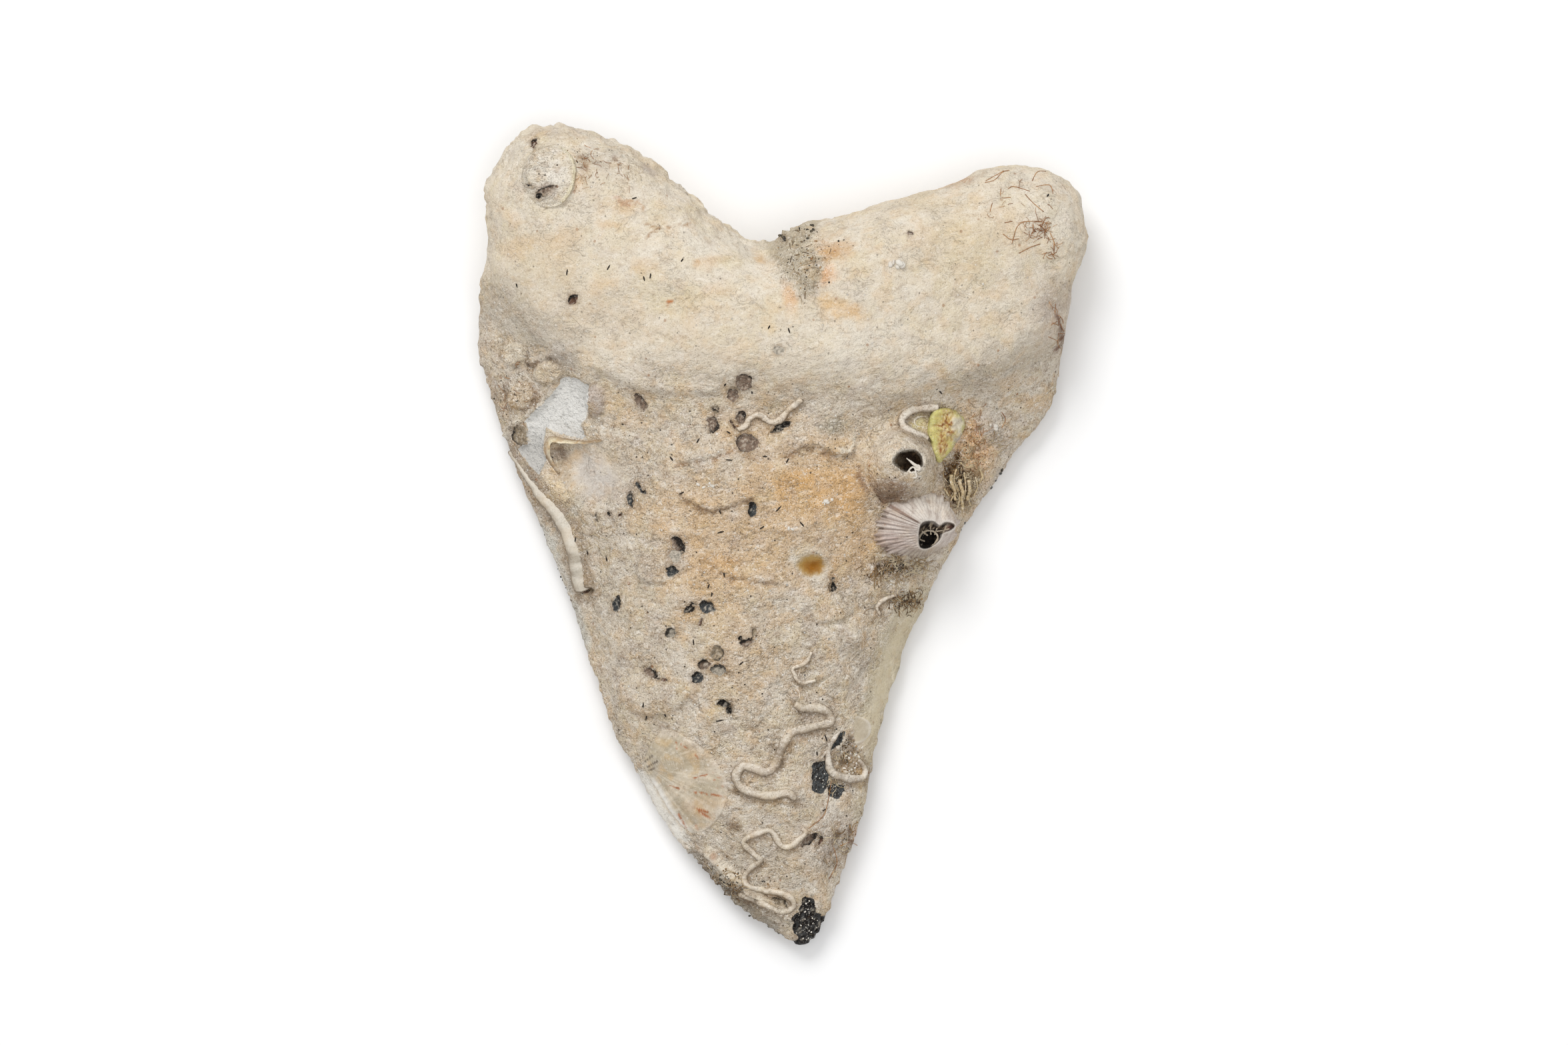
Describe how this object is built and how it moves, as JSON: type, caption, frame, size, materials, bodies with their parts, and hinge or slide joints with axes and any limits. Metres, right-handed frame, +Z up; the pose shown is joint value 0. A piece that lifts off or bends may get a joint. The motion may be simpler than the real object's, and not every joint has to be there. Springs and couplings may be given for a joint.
{
  "type": "fossil shark tooth",
  "caption": "Large serrated fossil shark tooth with a two-lobed root, lying on its flatter face, crusted over and carrying barnacles, worm tubes and thin shells.",
  "frame": {"origin": "middle of the bounding box on the rest plane: the tooth lies on its flatter face and the origin is under its middle", "axes": "+Z up through the bulged face, +Y towards the two root lobes, -Y towards the point, +X towards the side that carries the barnacles"},
  "size_m": [0.0762, 0.1031, 0.0203],
  "materials": {
    "crusted_tooth": "dull lime crust with ochre stains over grey-black enamel",
    "barnacle_plate": "chalky, ribbed barnacle plates",
    "worm_tube": "pale limy worm tube, slightly smooth",
    "yellow_growth": "yellow-green crusting growth",
    "thin_shell": "thin shell, faintly glossy",
    "worm_tuft": "beige fibrous tuft of worm tubes"
  },
  "bodies": {
    "root": {"tooth": "crusted_tooth", "barnacle_round": "barnacle_plate", "barnacle_ribbed": "barnacle_plate", "barnacle_low": "barnacle_plate", "coiled_ring": "worm_tube", "yellow_growth": "yellow_growth", "oyster_cup": "thin_shell", "fan_shell": "thin_shell", "coiled_shell": "worm_tube", "tube_centre": "worm_tube", "tube_large": "worm_tube", "tube_lower": "worm_tube", "tube_edge": "worm_tube", "tube_small": "worm_tube", "tube_arc": "worm_tube", "tube_tuft": "worm_tuft"}
  },
  "joints": []
}
